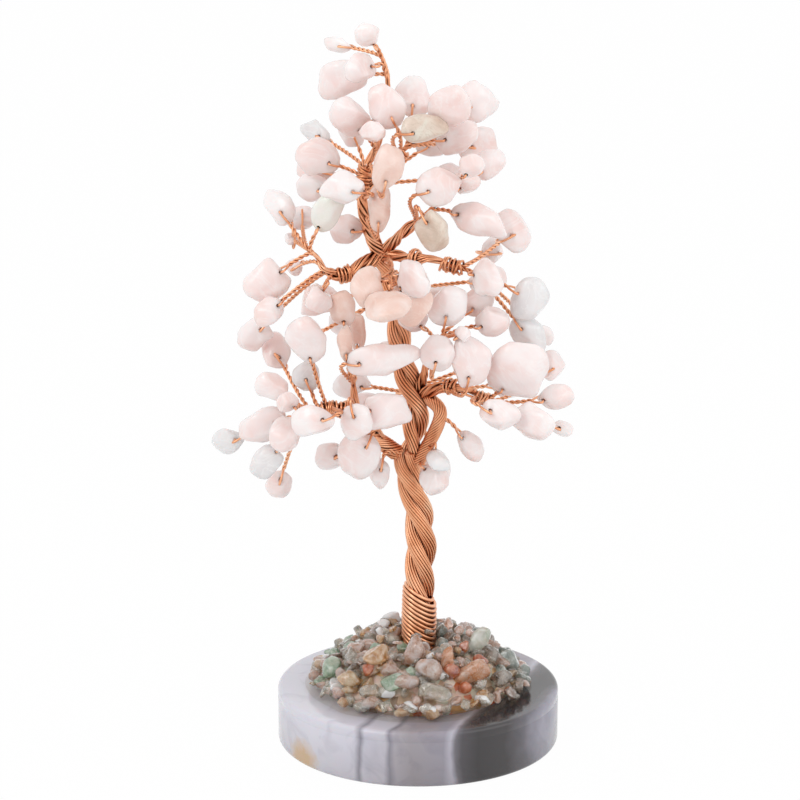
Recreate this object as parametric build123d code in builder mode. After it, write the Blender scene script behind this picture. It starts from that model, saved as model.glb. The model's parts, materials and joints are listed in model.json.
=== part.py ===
from build123d import *
from math import atan2, cos, degrees, floor, pi, radians, sin, sqrt, tan
from typing import NamedTuple
import os

# Gemstone tree, in millimetres. The origin is the middle of the base's underside, +X is the right
# of the front view, +Y points away from the viewer and +Z is up.

# Base disc
base_d = 70.0
base_h = 14.0
base_bevel = 1.3
socket_deep = 5.0
socket_fit = 0.15

# Resin mound
resin_d = 54.0
resin_foot_rise = 9.2           # against the trunk, under the wrap
resin_rise = 10.8
resin_slope_shares = ((0.30, 1.0), (0.65, 0.78), (0.84, 0.36), (1.0, 0.12))   # of its radius and its rise

# Heap of chips
chip_long = 5.2                 # down the slope
chip_wide = 4.7
chip_thick = 4.4
chip_uneven_share = 0.3         # how much smaller a side of a chip may be
chip_sunk = 1.0
chip_gap = 0.1
chip_turn = 24.0                # largest turn of a chip about its own upright
chip_corners = 6                # of each of its three rings
chip_ring_shares = ((-0.9, 0.62), (0.0, 1.0), (0.95, 0.6))   # of half its thickness and of its width

# Tree
tree_rise = 166.0               # top of the base to the tip of the top stone
crown_width = 88.0
crown_depth = 78.0

# Trunk
foot_strand_d = 3.0             # three of them, from the socket to the low fork
foot_turns = 2.2
foot_spread = 3.0               # from the trunk's line to the middle of a strand, where it is widest
foot_end_rise = 1.05            # from the socket's floor to the middle of a strand's lower end
upper_strand_d = 2.6            # two of them, from the low fork to the middle fork
upper_turns = 2.4
upper_spread = 1.45             # from the trunk's line to the middle of an upper strand
foot_bend = 3.2
upper_bend = 3.0
strand_steps = 8                # points for each turn of a strand

# Foot wrap, one wire wound in tilted turns
wrap_wire_d = 0.5
wrap_pitch = 1.0
wrap_turns = 13
wrap_tilt = 24.0
wrap_clear = 0.12
wrap_low_px = 634                # row of the front view where the wrap starts

# Wire of the twigs
wire_d = 0.5
pair_d = 1.0
pin_fit = 0.1                   # between a loop's wire and the wall of the stone's hole
twig_bend = 4.0
loop_bend = 0.45
loop_out = 1.05                 # from a stone's face to the corner of the wire
loop_sink = 0.35                # how far a loop's ends reach into their twig
tail = 1.5                      # from a stone's end to its twig
hole_in = 1.7                   # from a stone's end to its hole
stone_thick = 5.0
swing_gap = 0.3                 # round the root of a part that bends by hand
twig_lead = 3.0                 # a twig leaves its branch this far before the place nearest to its stone
stem_least = 0.8                # straight part of a twig before its loop, where there is room
onward_least = 1.0              # a twig runs on this far along its branch before it bends
lean_run = 2.2                  # straight part of a twig before a stone with a lean of its own
lean_back_share = 0.15          # of its length, how far such a stone points away from the viewer
leader_ball_d = 1.9             # what the hand-bent leader turns round
side_ball_d = 3.5               # what the hand-bent side twig turns round

# Root and tip of each branch's bundle
limb_d = {
    "low_left": (4.4, 2.2), "left_riser": (2.6, 1.6), "right_strand": (3.4, 2.6), "low_right": (3.6, 2.0),
    "right_riser": (2.8, 1.6), "mid_right": (4.0, 2.2), "upper_right": (3.8, 2.0), "mid_left": (4.0, 1.8),
    "centre": (2.6, 1.8), "top_strand": (3.8, 1.8), "top_right": (2.8, 1.8), "top_leader": (1.8, 1.2),
    "back_low": (3.4, 2.2), "back_mid": (3.4, 2.2), "back_top": (3.0, 2.0), "right_twig": (1.4, pair_d),
}

# Reading of the front view. A pixel and a depth give one place.
frame_px = 800
axis_px = 418.5
foot_px = 682
tip_px = 18
crown_left_px, crown_right_px = 210, 571
eye_px = 2849                   # from the eye to the trunk, in pixels at the trunk
look_down = radians(14.65)
px_mm = crown_width / (crown_right_px - crown_left_px)


class Stone(NamedTuple):
    """A drilled chip: its middle, how far back it lies, and its size as seen"""

    px: float
    py: float
    depth_share: float          # of half the crown's depth, negative towards the viewer
    long_px: float
    wide_px: float
    lean: float = None          # degrees of its long axis from +X, where it doesn't follow its twig
    own: str = ""               # name of its own node, where it turns on its wire


def seen(px, py, back_px):
    """Across and up, in pixels from the trunk's line, of what a pixel shows so far back"""
    across, up = (px - frame_px / 2) / eye_px, (frame_px / 2 - py) / eye_px
    reach = (back_px + eye_px * cos(look_down)) / (cos(look_down) + up * sin(look_down))
    rise = eye_px * sin(look_down) + (up * cos(look_down) - sin(look_down)) * reach
    return frame_px / 2 - axis_px + across * reach, rise


foot_rise_px = seen(axis_px, foot_px, 0)[1]
tip_rise_px = seen(axis_px, tip_px, 0)[1]
rise_mm = tree_rise / (tip_rise_px - foot_rise_px)


def spot(px, py, depth_share):
    """Place of what a pixel of the front view shows at a depth"""
    depth = depth_share * crown_depth / 2
    across, rise = seen(px, py, depth / px_mm)
    return Vector(across * px_mm, depth, base_h + (rise - foot_rise_px) * rise_mm)


def places(line):
    """Points of a line whose points are places already or pixels with a depth"""
    return [point if isinstance(point, Vector) else spot(*point) for point in line]


def wander(seed):
    """A steady number from -1 to 1 for each seed"""
    turn = sin(seed * 12.9898 + 4.1414) * 437.585
    return 2 * (turn - floor(turn)) - 1


def bends(points, largest):
    """One radius for each corner, as large as its two runs allow"""
    radii = []
    for before, corner, after in zip(points, points[1:], points[2:]):
        into, out = corner - before, after - corner
        half_turn = radians(into.get_angle(out)) / 2
        room = min(into.length, out.length) * 0.45 / tan(half_turn)
        radii.append(min(largest, room))
    return radii


def tube(points, diameter, largest_bend):
    """A round wire along straight runs joined by tangent arcs"""
    with BuildPart() as wire:
        with BuildLine() as run:
            if len(points) > 2:
                FilletPolyline(*points, radius=bends(points, largest_bend))
            else:
                Line(*points)
        with BuildSketch(Plane(run.line @ 0, z_dir=run.line % 0)):
            Circle(diameter / 2)
        sweep()
    return wire.part


def bundle(points, root_d, tip_d):
    """A tapered bundle of wires: a cone for each run and a ball at each corner"""
    lengths = [(b - a).length for a, b in zip(points, points[1:])]
    along, total = 0.0, sum(lengths)
    with BuildPart() as limb:
        for a, b, length in zip(points, points[1:], lengths):
            near = root_d + (tip_d - root_d) * along / total
            along += length
            far = root_d + (tip_d - root_d) * along / total
            with Locations(Plane(a, z_dir=b - a)):
                Cone(near / 2, far / 2, length, align=(Align.CENTER, Align.CENTER, Align.MIN))
            with Locations(b):
                Sphere(far / 2)
    return limb.part


def clear_of(ball, ball_d, towards):
    """Where a part that bends by hand starts, a running gap from the ball that it turns round"""
    return ball + (towards - ball).normalized() * (ball_d / 2 + swing_gap)


def write(name, *solids):
    piece = solids[0] if len(solids) == 1 else Compound(children=list(solids))
    piece.label = name
    export_step(piece, f"parts/{name}.step")


# Stones


def pebble(length, width, thick, seed):
    """Points of a tumbled chip along X, thin along Z, its narrow end at -X"""
    station_shares = (-1.0, -0.55, 0.10, 0.70, 1.0)
    width_shares = (0.42, 0.90, 1.0, 0.86, 0.46)
    thick_shares = (0.26, 0.82, 1.0, 0.84, 0.42)
    corners = (3, 6, 6, 5, 3)
    points = []
    for ring, count in enumerate(corners):
        offset = wander(seed + 7 * ring)
        for n in range(count):
            turn = 2 * pi * (n + 0.5 * (ring % 2)) / count + 0.25 * offset
            uneven = 0.95 + 0.07 * wander(seed + 13 * ring + 3 * n)
            slide = 0.05 * wander(seed + 5 * ring + 11 * n) * (ring not in (0, len(corners) - 1))
            x = (station_shares[ring] + slide) * length / 2
            y = cos(turn) * width_shares[ring] * uneven * width / 2
            z = sin(turn) * thick_shares[ring] * uneven * thick / 2
            points.append(Vector(x, y, z))
    return points


def stone_sizes(stone):
    """Length, width, thickness, and how far behind the middle its hole lies"""
    length, width = stone.long_px * px_mm, stone.wide_px * px_mm
    return length, width, min(stone_thick, width * 0.8), length / 2 - min(hole_in, length * 0.3)


def twig_route(start, heading, stone):
    """Where a twig bends and how its stone lies: the bend, the stone's middle and its long axis"""
    middle = spot(stone.px, stone.py, stone.depth_share)
    span = middle - start
    if stone.lean is None:
        room = span.length - stone_sizes(stone)[0] / 2 - tail - stem_least
        onward = span.length * 0.1 + max(0.0, heading.dot(span)) * 0.2
        elbow = start + heading * min(onward, max(room, onward_least))
        axis = (middle - elbow).normalized()
    else:
        axis = Vector(cos(radians(stone.lean)), lean_back_share, sin(radians(stone.lean))).normalized()
        elbow = middle - axis * (stone_sizes(stone)[0] / 2 + tail + lean_run)
    return elbow, middle, axis


def stone_plane(middle, axis):
    """Plane of a stone: X along it, Z through its thickness, as near to the viewer as it can be"""
    view = Vector(0, -1, 0)
    thin = view - axis * view.dot(axis)
    if thin.length < 0.3:
        thin = Vector(0, 0, 1) - axis * axis.Z
    return Plane(middle, x_dir=axis, z_dir=thin.normalized())


def drilled_stone(stone, plane, seed):
    """The chip with its hole through the narrow end"""
    length, width, thick, hole_back = stone_sizes(stone)
    with BuildPart() as chip:
        ConvexPolyhedron([plane.from_local_coords(p) for p in pebble(length, width, thick, seed)])
        hole = plane.from_local_coords(Vector(-hole_back, 0, 0))
        with Locations(Plane(hole, x_dir=plane.x_dir, z_dir=plane.z_dir)):
            Cylinder(wire_d / 2 + pin_fit, 2 * thick, mode=Mode.SUBTRACT)
    return chip.part


def wire_twig(start, elbow, stone, plane):
    """The twisted pair from its branch, and the loop that it opens into"""
    length, width, thick, hole_back = stone_sizes(stone)
    end_x = -length / 2 - tail
    stem_end = plane.from_local_coords(Vector(end_x + loop_sink, 0, 0))
    side = wire_d / 2
    out = thick / 2 + loop_out
    corners = [(end_x, side), (-hole_back, out), (-hole_back, -out), (end_x, -side)]
    route = [plane.from_local_coords(Vector(x, 0, z)) for x, z in corners]
    stem = tube([start, elbow, stem_end], pair_d, twig_bend)
    loop = tube(route, wire_d, loop_bend)
    with BuildPart() as twig:
        add(stem)
        add(loop)
    return twig.part


def nearest_station(points, target):
    """Where a twig leaves its branch, and which way the branch runs there"""
    best = None
    for a, b in zip(points, points[1:]):
        run = b - a
        share = max(0.0, min(1.0, (target - a).dot(run) / run.length**2))
        place = a + run * share
        gap = (target - place).length
        if best is None or gap < best[0]:
            best = (gap, place, run.normalized())
    gap, place, heading = best
    return place - heading * min(twig_lead, (place - points[0]).length * 0.6), heading


def branch(name, line, stones):
    """A bundle with its twigs, and the stones on them"""
    points = places(line)
    members, chips = [bundle(points, *limb_d[name])], []
    for stone in stones:
        middle = spot(stone.px, stone.py, stone.depth_share)
        start, heading = nearest_station(points, middle)
        elbow, middle, axis = twig_route(start, heading, stone)
        plane = stone_plane(middle, axis)
        seed = stone.px + 3.7 * stone.py
        members.append(wire_twig(start, elbow, stone, plane))
        chip = drilled_stone(stone, plane, seed)
        if stone.own:
            write(stone.own, chip)
            pin = plane.from_local_coords(Vector(-stone_sizes(stone)[3], 0, 0))
            print("pin", stone.own, [round(v, 3) for v in pin], [round(v, 4) for v in plane.z_dir])
        else:
            chips.append(chip)
    write(f"branch_{name}", *members)
    if chips:
        write(f"stones_{name}", *chips)


# Trunk

foot_line = [Vector(0, 0, base_h - socket_deep + foot_end_rise), (axis_px, foot_px, 0.0),
             (axis_px, 636, 0.0), (axis_px, 610, 0.0), (420, 575, 0.0),
             (421, 546, 0.0), (420, 516, 0.0), (410, 480, 0.0), (405, 462, 0.0), (408, 450, 0.0)]
foot_spread_shares = (0.72, 0.72, 0.72, 0.72, 0.74, 0.86, 0.76, 0.70, 0.70, 0.70)
upper_line = [(407, 462, 0.0), (414, 440, 0.0), (417, 404, 0.0), (408, 380, 0.0), (400, 345, 0.0),
              (398, 320, 0.0), (392, 285, 0.02), (380, 256, 0.0)]


def strands(line, count, turns, spreads, diameter, largest_bend):
    """Cables twisted round each other along a line; each winds down to the right in front"""
    points = places(line)
    ends = [0.0]
    for a, b in zip(points, points[1:]):
        ends.append(ends[-1] + (b - a).length)
    steps = round(turns * strand_steps)
    made = []
    for strand in range(count):
        route = []
        for step in range(steps + 1):
            along = ends[-1] * step / steps
            piece = max(n for n in range(len(points) - 1) if ends[n] <= along)
            share = (along - ends[piece]) / (ends[piece + 1] - ends[piece])
            middle = points[piece] + (points[piece + 1] - points[piece]) * share
            spread = spreads[piece] + (spreads[piece + 1] - spreads[piece]) * share
            turn = 2 * pi * (strand / count - turns * step / steps)
            route.append(middle + Vector(cos(turn), sin(turn), 0) * spread)
        made.append(tube(route, diameter, largest_bend))
    return made


def quarter_arcs(points, tangents):
    """Biarcs through the points of a coil"""
    arcs = []
    for start, end, leave, arrive in zip(points, points[1:], tangents, tangents[1:]):
        span, both = end - start, leave + arrive
        bend = 2 * (1 - leave.dot(arrive))
        reach = (-span.dot(both) + sqrt(span.dot(both) ** 2 + bend * span.dot(span))) / bend
        join = (start + leave * reach + end - arrive * reach) / 2
        arcs.append(Edge.make_tangent_arc(start, leave, join))
        arcs.append(Edge.make_tangent_arc(join, join - (start + leave * reach), end))
    return arcs


def wrap_radius():
    """Radius of the middle of a tilted turn, clear of the strands on its narrow side"""
    inside = foot_spread * foot_spread_shares[2] + foot_strand_d / 2
    return (inside + wrap_clear + wrap_wire_d / 2) / cos(radians(wrap_tilt))


def foot_wrap():
    """One unbroken wire in tilted turns round the foot"""
    radius = wrap_radius()
    tilted = Vector(cos(radians(wrap_tilt)), 0, -sin(radians(wrap_tilt)))
    across, up = Vector(0, 1, 0), Vector(0, 0, 1)
    low = spot(axis_px, wrap_low_px, 0)
    points, tangents = [], []
    for step in range(wrap_turns * 2 + 1):
        turn = pi * step
        outward = tilted * cos(turn) + across * sin(turn)
        onward = across * cos(turn) - tilted * sin(turn)
        points.append(low + outward * radius + up * wrap_pitch * step / 2)
        tangents.append((onward * radius + up * wrap_pitch / (2 * pi)).normalized())
    with BuildPart() as wrap:
        with BuildLine() as coil:
            for arc in quarter_arcs(points, tangents):
                add(arc)
        with BuildSketch(Plane(coil.line @ 0, z_dir=coil.line % 0)):
            Circle(wrap_wire_d / 2)
        sweep()
    print("foot wrap: gap between turns", round(wrap_pitch * cos(radians(wrap_tilt)) - wrap_wire_d, 3))
    return wrap.part


# Base, resin and heap


def agate_disc():
    socket_r = foot_spread * foot_spread_shares[0] + foot_strand_d / 2 + socket_fit
    with BuildPart() as disc:
        Cylinder(base_d / 2, base_h, align=(Align.CENTER, Align.CENTER, Align.MIN))
        chamfer(disc.edges().filter_by(GeomType.CIRCLE), base_bevel)
        with Locations((0, 0, base_h)):
            Hole(socket_r, depth=socket_deep)
    return disc.part


def mound_line():
    """Radius and height of the corners of the resin's surface, from the trunk outwards"""
    inner = foot_spread * foot_spread_shares[1] + foot_strand_d / 2 + socket_fit
    slope = [(resin_d / 2 * r_share, resin_rise * rise_share) for r_share, rise_share in resin_slope_shares]
    return [(inner, resin_foot_rise)] + slope


def resin_mound():
    line = [(r, base_h + rise) for r, rise in mound_line()]
    with BuildPart() as mound:
        with BuildSketch(Plane.XZ):
            with BuildLine():
                Polyline(*line, (line[-1][0], base_h), (line[0][0], base_h), close=True)
            make_face()
        revolve(axis=Axis.Z)
    return mound.part


def on_mound(along):
    """Radius, height and fall in degrees of the surface, so far down it from its highest ring"""
    corners = mound_line()[1:]
    for (r, rise), (next_r, next_rise) in zip(corners, corners[1:]):
        run = sqrt((next_r - r) ** 2 + (next_rise - rise) ** 2)
        if along <= run or next_r == corners[-1][0]:
            share = along / run
            fall = degrees(atan2(rise - next_rise, next_r - r))
            return r + (next_r - r) * share, base_h + rise + (next_rise - rise) * share, fall
        along -= run


def heap_chip(along, turn, seed):
    """A chip of its own shape, part sunk in the resin, lying down the mound's slope"""
    length, width, thick = (full * (1 - chip_uneven_share * (0.5 + 0.5 * wander(seed + 31 * n)))
                            for n, full in enumerate((chip_long, chip_wide, chip_thick)))
    r, rise, fall = on_mound(along)
    upright = Plane((0, 0, 0), x_dir=(cos(turn), sin(turn), 0))
    tilted = Plane(Vector(r * cos(turn), r * sin(turn), rise), x_dir=upright.x_dir).rotated((0, fall, 0))
    lying = tilted.offset(thick / 2 - chip_sunk).rotated((0, 0, chip_turn * wander(seed)))
    points = []
    for ring, (height_share, width_share) in enumerate(chip_ring_shares):
        for n in range(chip_corners):
            around = 2 * pi * (n + 0.5 * (ring % 2)) / chip_corners + 0.3 * wander(seed + ring)
            uneven = width_share * (0.93 + 0.07 * wander(seed + 3 * n + ring))
            local = Vector(cos(around) * uneven * length / 2, sin(around) * uneven * width / 2,
                           height_share * thick / 2)
            points.append(lying.from_local_coords(local))
    with BuildPart() as chip:
        ConvexPolyhedron(points)
    return chip.part


# Kinds of chip round the heap, from the right by the back and the left to the front
heap_sides = (("smoky", "teal", "rose"), ("clear", "teal", "smoky"), ("rose", "clear", "green"),
              ("green", "rose", "clear"), ("rose", "green", "clear"), ("honey", "rose", "green", "clear"),
              ("carnelian", "clear", "rose", "honey", "teal"), ("teal", "rose", "carnelian", "smoky"))


def heap():
    """Rings of chips down the mound, their kinds by side"""
    groups = {kind: [] for kinds in heap_sides for kind in kinds}
    corners = mound_line()[1:]
    slope = sum(sqrt((b[0] - a[0]) ** 2 + (b[1] - a[1]) ** 2) for a, b in zip(corners, corners[1:]))
    first = wrap_radius() + wrap_wire_d / 2 + chip_gap + chip_long / 2 - corners[0][0]
    rows = floor((slope - first) / (chip_long + chip_gap)) + 1
    breadth = sqrt((chip_long * sin(radians(chip_turn))) ** 2 + (chip_wide * cos(radians(chip_turn))) ** 2)
    nth = 0
    for row in range(rows):
        along = first + row * (chip_long + chip_gap)
        count = floor(2 * pi * on_mound(along)[0] / (breadth + chip_gap))
        for n in range(count):
            turn = 2 * pi * (n + 0.5 * (row % 2)) / count
            kinds = heap_sides[floor(len(heap_sides) * n / count)]
            groups[kinds[(n + row) % len(kinds)]].append(heap_chip(along, turn, nth))
            nth += 1
    return groups


os.makedirs("parts", exist_ok=True)
write("base_disc", agate_disc())
write("resin_mound", resin_mound())
for kind, chips in heap().items():
    write(f"heap_{kind}", *chips)
foot_spreads = [foot_spread * share for share in foot_spread_shares]
for n, cable in enumerate(strands(foot_line, 3, foot_turns, foot_spreads, foot_strand_d, foot_bend), 1):
    write(f"foot_strand_{n}", cable)
upper_spreads = [upper_spread] * len(upper_line)
for n, cable in enumerate(strands(upper_line, 2, upper_turns, upper_spreads, upper_strand_d, upper_bend), 1):
    write(f"upper_strand_{n}", cable)
write("foot_wrap", foot_wrap())

branch("low_left", [(396, 452, -0.06), (374, 438, -0.14), (352, 410, -0.24), (332, 408, -0.26),
                    (312, 412, -0.26)],
       [Stone(272, 387, -0.34, 30, 28),
        Stone(288, 402, -0.54, 24, 20),
        Stone(262, 424, -0.28, 40, 34),
        Stone(286, 433, -0.44, 36, 30),
        Stone(313, 420, -0.70, 36, 30, lean=-165),
        Stone(228, 441, -0.02, 40, 32, own="clear_stone_left"),
        Stone(268, 461, -0.34, 38, 34, own="clear_stone_low"),
        Stone(279, 484, 0.0, 34, 30, own="drop_stone_left"),
        Stone(332, 456, 0.06, 34, 24),
        Stone(361, 456, -0.30, 42, 36, lean=-115),
        Stone(356, 422, -0.56, 32, 30, lean=-75),
        Stone(276, 350, 0.14, 38, 28),
        Stone(306, 376, -0.14, 28, 26),
        Stone(306, 340, -0.44, 44, 38),
        Stone(380, 474, -0.14, 28, 20, lean=-100)])
branch("left_riser", [(358, 428, -0.20), (354, 402, -0.26), (355, 384, -0.26), (353, 372, -0.24)],
       [Stone(384, 360, -0.46, 64, 29, lean=4),
        Stone(385, 411, -0.42, 46, 36, lean=-8),
        Stone(342, 309, -0.34, 32, 24),
        Stone(358, 334, -0.12, 36, 15, lean=86),
        Stone(345, 344, -0.42, 34, 14, lean=98)])
twig_ball = spot(442, 416, -0.10)
branch("right_strand", [(418, 462, -0.04), (431, 440, -0.08), twig_ball, (438, 404, -0.08),
                        (424, 396, 0.0)],
       [Stone(438, 459, -0.30, 34, 22),
        Stone(434, 479, -0.16, 36, 34, own="hanging_stone_front")])
branch("low_right", [(420, 396, 0.0), (438, 386, -0.12), (456, 386, -0.20), (476, 396, -0.22),
                     (492, 402, -0.22)],
       [Stone(471, 362, -0.42, 44, 36, lean=80),
        Stone(517, 371, -0.34, 56, 54),
        Stone(550, 366, 0.22, 34, 28),
        Stone(556, 397, -0.26, 38, 32, own="end_stone_right"),
        Stone(533, 420, -0.40, 46, 32),
        Stone(500, 414, -0.52, 36, 26, lean=-25),
        Stone(562, 428, -0.06, 26, 18, own="tip_stone_right")])
branch("right_riser", [(418, 396, 0.02), (424, 372, -0.06), (433, 352, -0.10), (440, 338, -0.10)],
       [Stone(437, 354, -0.46, 30, 31, lean=78),
        Stone(447, 306, -0.34, 34, 36, lean=82),
        Stone(478, 303, -0.10, 28, 26),
        Stone(492, 322, -0.26, 30, 28),
        Stone(413, 317, -0.20, 30, 28),
        Stone(463, 334, -0.44, 18, 15)])
branch("mid_right", [(386, 254, 0.0), (414, 258, -0.08), (440, 263, -0.14), (462, 268, -0.18)],
       [Stone(513, 232, 0.18, 36, 44),
        Stone(492, 251, 0.34, 30, 26),
        Stone(488, 278, -0.36, 36, 34),
        Stone(529, 297, -0.20, 38, 50, own="white_stone_right"),
        Stone(527, 335, -0.14, 36, 30),
        Stone(543, 336, 0.36, 30, 16)])
branch("upper_right", [(384, 250, 0.0), (400, 238, -0.06), (412, 224, -0.08), (430, 209, -0.10)],
       [Stone(432, 231, -0.40, 38, 27, lean=-60),
        Stone(439, 186, -0.34, 38, 35, lean=20),
        Stone(466, 182, -0.18, 26, 24),
        Stone(472, 166, -0.40, 24, 22),
        Stone(489, 165, -0.02, 36, 32, own="hook_stone_right"),
        Stone(479, 219, -0.28, 54, 31)])
branch("mid_left", [(382, 256, 0.0), (362, 264, -0.06), (344, 277, -0.12), (328, 274, -0.14),
                    (306, 248, -0.12)],
       [Stone(267, 280, -0.22, 42, 38),
        Stone(294, 267, 0.02, 18, 16),
        Stone(269, 311, -0.36, 28, 24),
        Stone(256, 333, 0.08, 38, 30),
        Stone(319, 298, -0.42, 32, 28),
        Stone(280, 208, 0.10, 38, 28),
        Stone(292, 239, 0.26, 18, 14),
        Stone(326, 212, -0.20, 46, 35, own="green_stone_left"),
        Stone(302, 218, 0.36, 36, 30)])
branch("centre", [(386, 258, 0.0), (388, 262, -0.20), (392, 270, -0.34)],
       [Stone(368, 288, -0.62, 42, 40),
        Stone(388, 306, -0.80, 44, 42),
        Stone(414, 279, -0.52, 40, 34),
        Stone(411, 304, -0.48, 40, 38)])
leader_ball = spot(378, 146, 0.0)
branch("top_strand", [(384, 260, 0.0), (374, 244, 0.0), (366, 222, 0.0), (362, 200, 0.0), (362, 184, 0.0),
                      (367, 164, 0.0), leader_ball],
       [Stone(315, 133, 0.30, 34, 20),
        Stone(318, 158, 0.02, 38, 34),
        Stone(342, 188, -0.36, 38, 32, lean=170),
        Stone(315, 188, 0.20, 36, 30),
        Stone(350, 118, -0.16, 40, 36),
        Stone(388, 168, -0.36, 40, 30, lean=80),
        Stone(379, 208, -0.26, 42, 21, lean=88),
        Stone(347, 229, 0.04, 30, 28),
        Stone(373, 131, -0.30, 26, 24)])
branch("top_right", [(363, 190, 0.0), (384, 176, 0.04), (398, 160, 0.02), (408, 146, 0.0)],
       [Stone(387, 106, -0.20, 38, 34, lean=115),
        Stone(425, 130, -0.30, 40, 26, lean=8),
        Stone(413, 98, 0.18, 40, 34),
        Stone(449, 107, -0.24, 44, 38),
        Stone(477, 102, 0.24, 42, 37),
        Stone(457, 137, -0.04, 36, 34),
        Stone(479, 146, 0.32, 42, 37)])
leader_bend = spot(384, 112, 0.06)
branch("top_leader", [clear_of(leader_ball, leader_ball_d, leader_bend), leader_bend, (390, 82, 0.04),
                      (384, 66, 0.02), (379, 50, 0.0)],
       [Stone(367, 35, -0.14, 32, 27, own="crest_stone"),
        Stone(338, 45, 0.24, 30, 16),
        Stone(361, 68, -0.10, 32, 26),
        Stone(343, 80, 0.06, 42, 38)])
branch("back_low", [(416, 404, 0.0), (414, 396, 0.24), (412, 388, 0.48)],
       [Stone(368, 408, 0.60, 38, 30),
        Stone(352, 384, 0.34, 34, 28),
        Stone(392, 356, 0.80, 38, 30),
        Stone(438, 352, 0.72, 34, 28),
        Stone(474, 366, 0.50, 36, 30),
        Stone(508, 384, 0.34, 36, 30),
        Stone(436, 470, 0.34, 34, 28)])
branch("back_mid", [(397, 300, 0.0), (398, 292, 0.26), (400, 288, 0.50)],
       [Stone(368, 286, 0.70, 38, 32),
        Stone(400, 300, 0.92, 36, 30),
        Stone(444, 302, 0.64, 36, 30),
        Stone(488, 280, 0.42, 34, 28),
        Stone(320, 300, 0.50, 34, 30),
        Stone(306, 340, 0.34, 34, 28),
        Stone(344, 322, 0.66, 30, 24)])
branch("back_top", [(363, 196, 0.0), (366, 190, 0.18), (372, 184, 0.36)],
       [Stone(342, 184, 0.50, 34, 28),
        Stone(316, 168, 0.36, 34, 28),
        Stone(390, 166, 0.70, 36, 30),
        Stone(352, 128, 0.44, 32, 28),
        Stone(436, 140, 0.42, 36, 28),
        Stone(452, 178, 0.30, 34, 28),
        Stone(372, 214, 0.62, 34, 24)])
twig_tip = spot(451, 423, -0.105)
branch("right_twig", [clear_of(twig_ball, side_ball_d, twig_tip), twig_tip],
       [Stone(470, 446, -0.14, 36, 25, own="twig_stone_right")])
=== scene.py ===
import json
from math import atan2, cos, floor, pi, radians, sin, sqrt
from random import Random
import bpy
import bmesh
from mathutils import Matrix, Vector, noise
from mathutils.bvhtree import BVHTree


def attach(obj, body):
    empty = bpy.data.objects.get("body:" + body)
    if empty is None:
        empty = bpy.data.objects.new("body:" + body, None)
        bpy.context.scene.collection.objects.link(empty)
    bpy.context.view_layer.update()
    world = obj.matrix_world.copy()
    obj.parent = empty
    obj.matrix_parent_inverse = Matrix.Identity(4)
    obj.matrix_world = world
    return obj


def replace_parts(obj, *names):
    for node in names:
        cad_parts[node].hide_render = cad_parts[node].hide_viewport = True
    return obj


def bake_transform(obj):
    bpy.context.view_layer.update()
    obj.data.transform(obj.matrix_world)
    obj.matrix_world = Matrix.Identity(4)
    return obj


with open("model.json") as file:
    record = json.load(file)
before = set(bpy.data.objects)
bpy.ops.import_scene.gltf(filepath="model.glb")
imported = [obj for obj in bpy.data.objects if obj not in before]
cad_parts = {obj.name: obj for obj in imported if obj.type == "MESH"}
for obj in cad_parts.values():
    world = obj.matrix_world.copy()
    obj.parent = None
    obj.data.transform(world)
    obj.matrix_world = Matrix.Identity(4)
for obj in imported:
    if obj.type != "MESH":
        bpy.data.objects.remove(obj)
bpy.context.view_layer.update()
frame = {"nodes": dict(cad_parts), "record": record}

bodyOfNode = {node: body for body, nodes in frame["record"]["behaviour"]["bodies"].items() for node in nodes}
slotOfNode = {row["node"]: row["material_slot"] for row in frame["record"]["subparts"]}

mm = 0.001

# Camera first: the eye stands where the photograph's eye stood
view = {
    "eye": (-4.5, -671.9, 262.6),   # mm
    "lookDown": 14.65,              # degrees under the level
    "lens": 128.2,
}
eye = bpy.data.objects.new("eye", bpy.data.cameras.new("eye"))
eye.data.lens = view["lens"]
eye.data.clip_end = 10
eye.location = Vector(view["eye"]) * mm
eye.rotation_euler = (radians(90 - view["lookDown"]), 0, 0)
bpy.context.scene.collection.objects.link(eye)
bpy.context.scene.camera = eye
bpy.context.scene.view_settings.view_transform = "Standard"


# Materials

def hexColour(text, alpha=1.0):
    channels = [int(text[i:i + 2], 16) / 255 for i in (1, 3, 5)]
    return [c / 12.92 if c <= 0.04045 else ((c + 0.055) / 1.055) ** 2.4 for c in channels] + [alpha]


def join(tree, node, links):
    # A node alone stands for its first output
    for name, source in links.items():
        tree.links.new(source.outputs[0] if isinstance(source, bpy.types.Node) else source, node.inputs[name])


def addNode(tree, kind, settings=None, links=None):
    node = tree.nodes.new("ShaderNode" + kind)
    for name, value in (settings or {}).items():
        if name == "stops":
            ramp = node.color_ramp.elements
            while len(ramp) < len(value):
                ramp.new(0.5)
            for stop, (place, colour) in zip(ramp, value):
                stop.position, stop.color = place, hexColour(colour)
        elif isinstance(name, int) or name in node.inputs:
            node.inputs[name].default_value = value
        else:
            setattr(node, name, value)
    join(tree, node, links or {})
    return node


def startMaterial(name, settings):
    material = bpy.data.materials.new(name)
    material.use_nodes = True
    tree = material.node_tree
    shader = tree.nodes["Principled BSDF"]
    for key, value in settings.items():
        shader.inputs[key].default_value = value
    return material, tree, shader, addNode(tree, "TexCoord").outputs["Object"]


def letLightThrough(tree, shader, much, colour, always=0.0):
    # What is clear throws a tinted, open shadow
    rays = addNode(tree, "LightPath")
    share = addNode(tree, "Math", {"operation": "MULTIPLY_ADD", 1: much - always, 2: always},
                    {0: rays.outputs["Is Shadow Ray"]})
    through = addNode(tree, "BsdfTransparent", {"Color": hexColour(colour)})
    mixed = addNode(tree, "MixShader", {}, {0: share, 1: shader, 2: through})
    join(tree, tree.nodes["Material Output"], {"Surface": mixed})


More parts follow.
